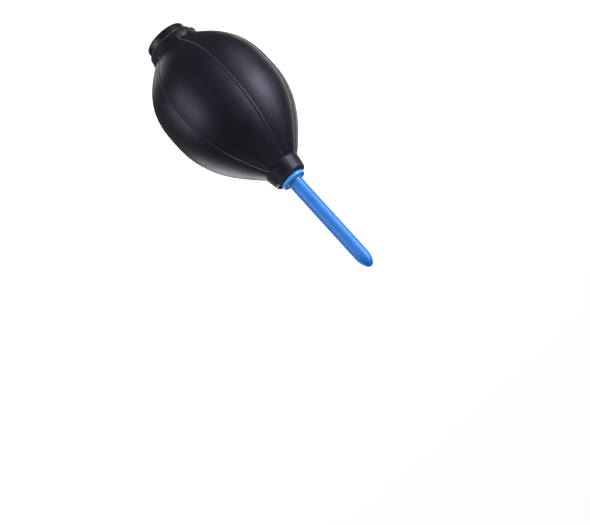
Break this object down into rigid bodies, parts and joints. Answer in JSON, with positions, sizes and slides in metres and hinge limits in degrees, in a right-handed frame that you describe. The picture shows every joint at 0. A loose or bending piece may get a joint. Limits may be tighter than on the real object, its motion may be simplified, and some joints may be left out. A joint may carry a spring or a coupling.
{
  "type": "dust blower bulb",
  "caption": "Lobed rubber squeeze bulb with a slim push-fit nozzle and a one-way air intake in its tail, for blowing dust off small parts.",
  "frame": {"origin": "centre of the flat face of the tail cap, on which the blower stands", "axes": "+Z along the bulb's axis towards the nozzle tip, -Y towards the side that the thumb presses, +X to the right of that side"},
  "size_m": [0.0552, 0.057, 0.14],
  "materials": {
    "bulb_rubber": "satin black rubber",
    "nozzle_plastic": "satin blue plastic",
    "cap_plastic": "semi-gloss black plastic",
    "valve_plastic": "matte black plastic",
    "screen_steel": "perforated steel",
    "seal_rubber": "matt rubber"
  },
  "bodies": {
    "root": {"bulb_shell": "bulb_rubber", "tail_cap": "cap_plastic", "inlet_screen": "screen_steel", "valve_housing": "valve_plastic", "seat_ring": "seal_rubber", "valve_cage": "valve_plastic"},
    "thumb_wall": {"thumb_wall": "bulb_rubber"},
    "finger_wall": {"finger_wall": "bulb_rubber"},
    "valve_disc": {"valve_disc": "seal_rubber"},
    "nozzle": {"nozzle": "nozzle_plastic"}
  },
  "joints": [
    {"name": "squeeze_thumb", "type": "slide", "parent": "root", "child": "thumb_wall", "axis": [0, 1, 0], "range_m": [0, 0.02], "stiffness_N_per_m": 500},
    {"name": "squeeze_fingers", "type": "slide", "parent": "root", "child": "finger_wall", "axis": [0, -1, 0], "range_m": [0, 0.014], "stiffness_N_per_m": 700},
    {"name": "intake_valve_lift", "type": "slide", "parent": "root", "child": "valve_disc", "axis": [0, 0, 1], "range_m": [0, 0.0008]},
    {"name": "nozzle_pull", "type": "slide", "parent": "root", "child": "nozzle", "axis": [0, 0, 1], "range_m": [0, 0.0125]}
  ],
  "couplings": [
    {"joint": "squeeze_fingers", "follows": "squeeze_thumb", "ratio": 0.7}
  ]
}
